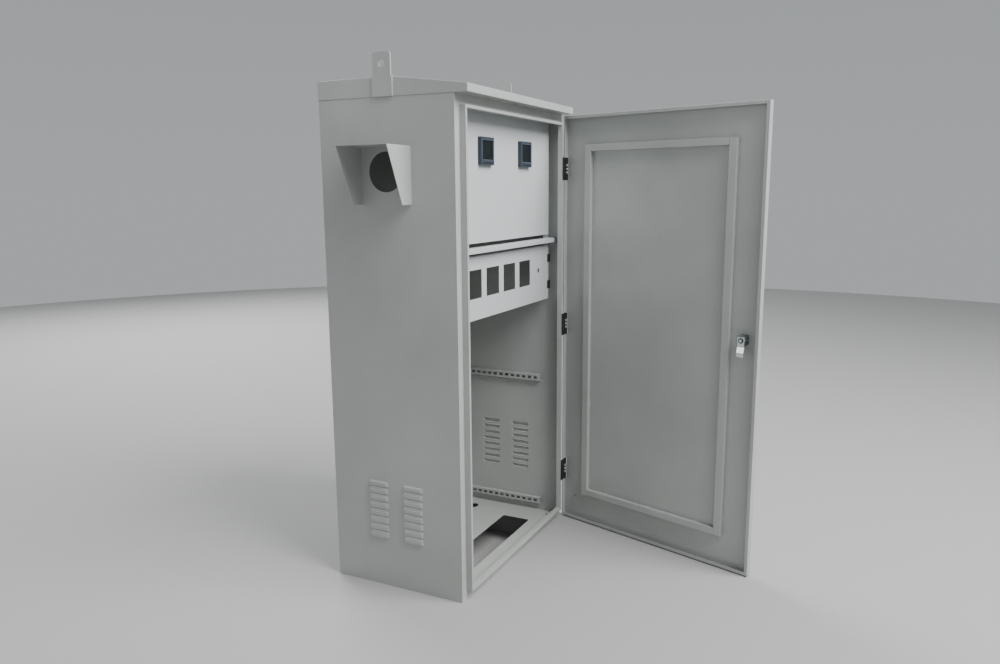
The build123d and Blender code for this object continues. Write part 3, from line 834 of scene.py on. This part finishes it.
@dataclass
class RibbedKnuckle:
    """The cast knuckle of a door hinge: a black tube with three bright rounded ribs."""

    node: str
    core: float = 0.0056
    bore: float = 0.00308
    core_rounding: float = 0.0006
    rib_radius: float = 0.008
    rib_height: float = 0.0096
    rib_sink: float = 0.0004
    rib_rounding: float = 0.0022
    ribs: int = 3
    pitch: float = 0.0162
    sides: int = 40

    def build(self, shop: Workshop, door: DoorPlane) -> None:
        """Builds the tube and its ribs, which together stand for the solid.

        Args:
            shop: The shared steps.
            door: The open door, whose hinge axis the knuckle turns on.
        """
        lowest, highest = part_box(self.node)
        tube = self.tube(shop, self.core, highest.z - lowest.z, self.bore, self.core_rounding)
        core = shop.join([tube], f"{self.node}_core")
        self.place(shop, core, door, Look.BLACK_METAL)
        bore = self.core - self.rib_sink
        first = self.tube(shop, self.rib_radius, self.rib_height, bore, self.rib_rounding)
        rings = []
        for index in range(self.ribs):
            ring = shop.twin(first)
            ring.location.z = (index - (self.ribs - 1) / 2) * self.pitch
            rings.append(ring)
        bpy.data.objects.remove(first)
        ribs = shop.join(rings, f"{self.node}_ribs")
        self.place(shop, ribs, door, Look.ZINC)
        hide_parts(self.node)

    def place(self, shop: Workshop, piece: bpy.types.Object, door: DoorPlane, look: Look) -> None:
        """Moves a piece to the hinge axis, shades it and dresses it.

        Args:
            shop: The shared steps.
            piece: The piece, modelled about the origin.
            door: The open door.
            look: Its finish.
        """
        piece.location = (*door.hinge(), middle_of(self.node).z)
        shop.settle(piece)
        shop.smooth(piece)
        shop.finish(piece, look, Carrier.DOOR, Look.ZINC)

    def tube(
        self, shop: Workshop, radius: float, length: float, bore: float, rounding: float
    ) -> bpy.types.Object:
        """Models a bored tube with rounded ends about the origin.

        Args:
            shop: The shared steps.
            radius: Its outer radius.
            length: Its length.
            bore: Radius of the bore.
            rounding: Radius of its outer rims.

        Returns:
            The tube, standing on end.
        """
        shop.fresh()
        bpy.ops.mesh.primitive_cylinder_add(
            vertices=self.sides, radius=radius, depth=length, location=(0, 0, 0)
        )
        piece = bpy.context.object
        bpy.ops.object.mode_set(mode="EDIT")
        shop.pick_faces(piece, shop.is_end)
        bpy.ops.mesh.bevel(offset=rounding, segments=4, affect="EDGES")
        shop.bore(piece, radius - rounding - bore)
        bpy.ops.object.mode_set(mode="OBJECT")
        return piece


@dataclass
class PanHead:
    """One pan-head screw with a round socket, drawn facing +Z and copied where it is needed."""

    radius: float = 0.0048
    height: float = 0.0019
    rounding: float = 0.0008
    socket: float = 0.0022
    socket_depth: float = 0.0011
    sides: int = 20

    def model(self, shop: Workshop) -> bpy.types.Object:
        """Models the head at the origin.

        Args:
            shop: The shared steps.

        Returns:
            The head, with its foot on the plane z = 0.
        """
        shop.fresh()
        bpy.ops.mesh.primitive_cylinder_add(
            vertices=self.sides, radius=self.radius, depth=self.height, location=(0, 0, self.height / 2)
        )
        head = bpy.context.object
        shop.settle(head)
        bpy.ops.object.mode_set(mode="EDIT")
        shop.pick_faces(head, lambda face: shop.is_end(face) and face.normal.z > 0)
        bpy.ops.mesh.bevel(offset=self.rounding, segments=2, affect="EDGES")
        bpy.ops.mesh.inset(thickness=self.radius - self.rounding - self.socket)
        bpy.ops.mesh.extrude_region_move(TRANSFORM_OT_translate={"value": (0, 0, -self.socket_depth)})
        bpy.ops.object.mode_set(mode="OBJECT")
        return head


@dataclass
class HingeScrews:
    """The screws that hold the black hinge halves to the rim of the door opening."""

    spread: float = 0.038
    across: float = 0.4685
    face: float = -0.329
    facing: float = 90.0
    sharp_turn: float = 40.0

    def build(self, shop: Workshop) -> None:
        """Models one screw and copies it to every hole.

        Args:
            shop: The shared steps.
        """
        first = PanHead().model(shop)
        first.rotation_euler = (math.radians(self.facing), 0, 0)
        copies = []
        for name in HINGES:
            level = middle_of(f"hinge_leaf_{name}").z
            for side in (-1, 1):
                copy = shop.twin(first)
                copy.location = (self.across, self.face, level + side * self.spread)
                copies.append(copy)
        bpy.data.objects.remove(first)
        piece = shop.join(copies, "hinge_screws")
        shop.smooth(piece, self.sharp_turn)
        shop.finish(piece, Look.BLACK_METAL, Carrier.CABINET)


@dataclass(frozen=True)
class Stitch:
    """One short weld: its middle, the way it runs and the way out of the metal."""

    place: Vector
    run: Vector
    out: Vector


@dataclass
class WeldRow:
    """Stitches of weld, each a short run of overlapping flattened drops under the paint."""

    name: str
    body: Carrier
    stitches: list[Stitch]
    length: float = 0.016
    width: float = 0.0048
    rise: float = 0.0016
    drops: int = 3
    overlap: float = 0.85
    around: int = 10
    rings: int = 6
    sharp_turn: float = 60.0

    def build(self, shop: Workshop, door: DoorPlane | None = None) -> None:
        """Models one drop and copies it along every stitch.

        Args:
            shop: The shared steps.
            door: The open door when the stitches are given in its directions.
        """
        shop.fresh()
        bpy.ops.mesh.primitive_uv_sphere_add(segments=self.around, ring_count=self.rings, radius=1.0)
        drop = bpy.context.object
        step = self.length / self.drops
        drop.scale = (step * self.overlap, self.width / 2, self.rise)
        shop.settle(drop)
        copies = []
        for stitch in self.stitches:
            side = stitch.out.cross(stitch.run)
            turn = Matrix((stitch.run, side, stitch.out)).transposed().to_4x4()
            for index in range(self.drops):
                copy = shop.twin(drop)
                offset = (index - (self.drops - 1) / 2) * step
                copy.matrix_world = Matrix.Translation(stitch.place + stitch.run * offset) @ turn
                copies.append(copy)
        bpy.data.objects.remove(drop)
        piece = shop.join(copies, self.name)
        if door:
            door.hang(shop, piece)
        shop.smooth(piece, self.sharp_turn)
        shop.finish(piece, Look.CABINET_PAINT, self.body)


@dataclass
class Welds:
    """Where the cabinet is stitched together: stiffener to door, lugs to roof, hood to wall."""

    tube_left: float = 0.115
    tube_right: float = 0.862
    tube_width: float = 0.034
    cross_width: float = 0.030
    foot: float = 0.141
    head: float = 1.813
    upright_levels: tuple[float, ...] = (0.205, 0.603, 1.010, 1.437, 1.755)
    cross_places: tuple[float, ...] = (0.250, 0.489, 0.728)
    lug_rises: tuple[float, ...] = (0.013, 0.032, 0.051, 0.066)
    hood_rise: float = 0.018
    hood_pitch: float = 0.030
    hood_side_stitches: int = 7
    hood_top_pitch: float = 0.036
    hood_top_stitches: int = 6

    def build(self, shop: Workshop, door: DoorPlane) -> None:
        """Lays every weld.

        Args:
            shop: The shared steps.
            door: The open door.
        """
        cabinet = Carrier.CABINET
        WeldRow("stiffener_welds", Carrier.DOOR, self.stiffener(door.skin)).build(shop, door)
        WeldRow("lug_welds", cabinet, self.lugs(), length=0.012, width=0.004, drops=2).build(shop)
        WeldRow("hood_welds", cabinet, self.hood(), length=0.014, width=0.0044, drops=2).build(shop)

    def stiffener(self, skin: float) -> list[Stitch]:
        """Gives the stitches between the stiffener and the door's skin.

        Args:
            skin: Level of the skin's inner face.

        Returns:
            The stitches, in the door's directions.
        """
        sides = (
            self.tube_left, self.tube_left + self.tube_width,
            self.tube_right - self.tube_width, self.tube_right,
        )
        levels = (self.foot, self.foot + self.cross_width, self.head - self.cross_width, self.head)
        found = [Stitch(Vector((s, level, skin)), Y, Z) for s in sides for level in self.upright_levels]
        found += [Stitch(Vector((s, level, skin)), X, Z) for level in levels for s in self.cross_places]
        return found

    def lugs(self) -> list[Stitch]:
        """Gives the stitches down both edges of each lug's foot.

        Returns:
            The stitches.
        """
        found = []
        for lug, out in (("lug_left", -X), ("lug_right", X)):
            lowest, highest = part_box(lug)
            face = min(lowest.x, highest.x, key=abs)
            for edge in (lowest.y, highest.y):
                for rise in self.lug_rises:
                    found.append(Stitch(Vector((face, edge, lowest.z + rise)), Z, out))
        return found

    def hood(self) -> list[Stitch]:
        """Gives the stitches where the hood meets the wall.

        Returns:
            The stitches.
        """
        found = []
        lowest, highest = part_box("fan_hood")
        for edge in (lowest.y, highest.y):
            for index in range(self.hood_side_stitches):
                level = lowest.z + self.hood_rise + index * self.hood_pitch
                found.append(Stitch(Vector((highest.x, edge, level)), Z, -X))
        for index in range(self.hood_top_stitches):
            along = (index - (self.hood_top_stitches - 1) / 2) * self.hood_top_pitch
            found.append(Stitch(Vector((highest.x, along, highest.z)), Y, -X))
        return found


@dataclass
class MeterTrim:
    """The line round the window of a panel meter, the bar under it and the keys on the bar."""

    node: str
    window_rise: float = 0.0045
    width: float = 0.0932
    tall: float = 0.0802
    rail: float = 0.0026
    proud: float = 0.0008
    bar: Triple = (0.0932, 0.0014, 0.0132)
    bar_drop: float = 0.0467
    keys: int = 4
    key_size: Triple = (0.0195, 0.0012, 0.0050)
    key_pitch: float = 0.0208
    key_drop: float = 0.0497
    edge: float = 0.0004

    def build(self, shop: Workshop) -> None:
        """Builds the line, the bar and the keys of one meter.

        Args:
            shop: The shared steps.
        """
        self.dress(shop, [self.line(shop)], "frame", Look.METER_TRIM)
        bar = self.block(shop, self.bar, Vector((0, 0, -self.bar_drop)))
        self.dress(shop, [bar], "bar", Look.METER_CASE)
        keys = []
        for index in range(self.keys):
            across = (index - (self.keys - 1) / 2) * self.key_pitch
            spot = Vector((across, -self.bar[1] / 2, -self.key_drop))
            keys.append(self.block(shop, self.key_size, spot))
        self.dress(shop, keys, "keys", Look.METER_KEYS)

    def window(self) -> Vector:
        """Gives the middle of the meter's window, on the front of its case."""
        middle = middle_of(self.node)
        return Vector((middle.x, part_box(self.node)[0].y, middle.z + self.window_rise))

    def dress(self, shop: Workshop, shapes: list[bpy.types.Object], part: str, look: Look) -> None:
        """Joins shapes into one part of the meter and finishes it.

        Args:
            shop: The shared steps.
            shapes: What is joined.
            part: The part's name.
            look: Its finish.
        """
        piece = shop.join(shapes, f"{self.node}_{part}")
        shop.smooth(piece)
        shop.finish(piece, look, Carrier.CABINET, Look.METER_CASE)

    def line(self, shop: Workshop) -> bpy.types.Object:
        """Models the thin raised line round the window.

        Args:
            shop: The shared steps.

        Returns:
            The line, in place.
        """
        shop.fresh()
        bpy.ops.mesh.primitive_plane_add(size=1.0, rotation=(math.radians(90), 0, 0))
        piece = bpy.context.object
        piece.scale = (self.width, self.tall, 1)
        shop.settle(piece)
        bpy.ops.object.mode_set(mode="EDIT")
        bpy.ops.mesh.select_mode(type="FACE")
        bpy.ops.mesh.select_all(action="SELECT")
        bpy.ops.mesh.inset(thickness=self.rail)
        bpy.ops.mesh.delete(type="FACE")
        bpy.ops.mesh.select_all(action="SELECT")
        bpy.ops.mesh.extrude_region_move(TRANSFORM_OT_translate={"value": (0, -self.proud, 0)})
        bpy.ops.mesh.select_all(action="SELECT")
        bpy.ops.mesh.normals_make_consistent(inside=False)
        bpy.ops.object.mode_set(mode="OBJECT")
        piece.location = self.window()
        return piece

    def block(self, shop: Workshop, size: Triple, spot: Vector) -> bpy.types.Object:
        """Models one low block with eased edges on the front of the meter.

        Args:
            shop: The shared steps.
            size: Its width, thickness and height.
            spot: Where its middle is, from the middle of the window.

        Returns:
            The block, in place.
        """
        shop.fresh()
        bpy.ops.mesh.primitive_cube_add(size=1.0, location=(0, 0, 0))
        piece = bpy.context.object
        piece.scale = size
        shop.settle(piece)
        bpy.ops.object.mode_set(mode="EDIT")
        bpy.ops.mesh.select_all(action="SELECT")
        bpy.ops.mesh.bevel(offset=self.edge, segments=2, affect="EDGES")
        bpy.ops.object.mode_set(mode="OBJECT")
        piece.location = self.window() + spot
        return piece


@dataclass
class CamWasher:
    """The toothed washer that shows round the nut on the cam."""

    foot: float = 0.01135
    inner: float = 0.0084
    outer: float = 0.0122
    height: float = 0.0009
    teeth: int = 12
    tooth_corners: int = 4
    gap_corners: int = 2
    root: float = 0.88
    rim_slack: float = 0.0002

    def build(self, shop: Workshop, door: DoorPlane) -> None:
        """Builds the washer on the cam.

        Args:
            shop: The shared steps.
            door: The open door, in whose directions the washer is drawn.
        """
        shop.fresh()
        lock = door.matrix().inverted() @ Vector(joint("latch_turn")["pos_m"])
        centre = Vector((lock.x, lock.y, self.foot + self.height / 2))
        bpy.ops.mesh.primitive_cylinder_add(
            vertices=self.teeth * self.tooth_corners, radius=self.outer, depth=self.height, location=centre
        )
        piece = bpy.context.object
        shop.settle(piece)
        bpy.ops.object.mode_set(mode="EDIT")
        shop.bore(piece, self.outer - self.inner)
        self.cut_teeth(piece, centre)
        bpy.ops.object.mode_set(mode="OBJECT")
        piece = shop.join([piece], "cam_washer")
        door.hang(shop, piece)
        shop.smooth(piece)
        shop.finish(piece, Look.BLACK_METAL, Carrier.LATCH, Look.CHROME)

    def cut_teeth(self, piece: bpy.types.Object, centre: Vector) -> None:
        """Draws every other pair of rim corners in, which leaves the teeth.

        Args:
            piece: The washer being edited.
            centre: Its middle.
        """
        bpy.ops.mesh.select_mode(type="VERT")
        bpy.ops.mesh.select_all(action="DESELECT")
        mesh = bmesh.from_edit_mesh(piece.data)
        for corner in mesh.verts:
            across, rise, _ = corner.co - centre
            step = round(math.atan2(rise, across) / math.tau * self.teeth * self.tooth_corners)
            on_rim = math.hypot(across, rise) > self.outer - self.rim_slack
            corner.select_set(on_rim and step % self.tooth_corners < self.gap_corners)
        mesh.select_flush(True)
        bmesh.update_edit_mesh(piece.data)
        bpy.ops.transform.resize(value=(self.root, self.root, 1), center_override=centre)


@dataclass
class EarthStud:
    """The earthing stud near the foot of the door, with its washer, nut and thread."""

    along: float = 0.062
    up: float = 0.112
    radius: float = 0.003
    length: float = 0.016
    washer: float = 0.0065
    washer_height: float = 0.0014
    nut: float = 0.0055
    nut_height: float = 0.0050
    thread_start: float = 0.0074
    thread_pitch: float = 0.001
    thread_height: float = 0.0005
    thread_rise: float = 0.00025
    turns: int = 8
    rim_share: float = 0.12

    def build(self, shop: Workshop, door: DoorPlane) -> None:
        """Builds the stud on the inner face of the door.

        Args:
            shop: The shared steps.
            door: The open door, in whose directions the stud is drawn.
        """
        parts = [
            self.disc(shop, door.skin, self.washer, self.washer_height, sides=28),
            self.disc(shop, door.skin + self.washer_height, self.nut, self.nut_height, sides=6),
            self.disc(shop, door.skin, self.radius, self.length, sides=20),
        ]
        for turn in range(self.turns):
            level = door.skin + self.thread_start + turn * self.thread_pitch
            crest = self.radius + self.thread_rise
            parts.append(self.disc(shop, level, crest, self.thread_height, sides=20))
        piece = shop.join(parts, "earth_stud")
        door.hang(shop, piece)
        shop.smooth(piece)
        shop.finish(piece, Look.ZINC, Carrier.DOOR)

    def disc(
        self, shop: Workshop, foot: float, radius: float, depth: float, sides: int
    ) -> bpy.types.Object:
        """Models one round or six-sided part of the stud with eased rims.

        Args:
            shop: The shared steps.
            foot: Level of its foot out of the door.
            radius: Radius to the corners.
            depth: Its height.
            sides: Number of sides.

        Returns:
            The part, in the door's directions.
        """
        shop.fresh()
        bpy.ops.mesh.primitive_cylinder_add(
            vertices=sides, radius=radius, depth=depth, location=(self.along, self.up, foot + depth / 2)
        )
        part = bpy.context.object
        bpy.ops.object.mode_set(mode="EDIT")
        bpy.ops.mesh.select_all(action="SELECT")
        rim = min(depth, radius) * self.rim_share
        bpy.ops.mesh.bevel(offset=rim, segments=1, affect="EDGES", clamp_overlap=True)
        bpy.ops.object.mode_set(mode="OBJECT")
        return part


def main() -> None:
    """Builds the studio and dresses the cabinet, piece by piece."""
    logging.basicConfig(level=logging.INFO, format="%(message)s")
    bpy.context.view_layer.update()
    finishes = Finishes()
    finishes.build()
    shop = Workshop(finishes)
    StudioSet().build(shop)
    FrameParts().build(shop)
    door = DoorPlane()
    for name in HINGES:
        RibbedKnuckle(f"door_knuckle_{name}").build(shop, door)
    HingeScrews().build(shop)
    Welds().build(shop, door)
    MeterTrim("meter_left").build(shop)
    MeterTrim("meter_right").build(shop)
    CamWasher().build(shop, door)
    EarthStud().build(shop, door)


if __name__ == "__main__":
    main()
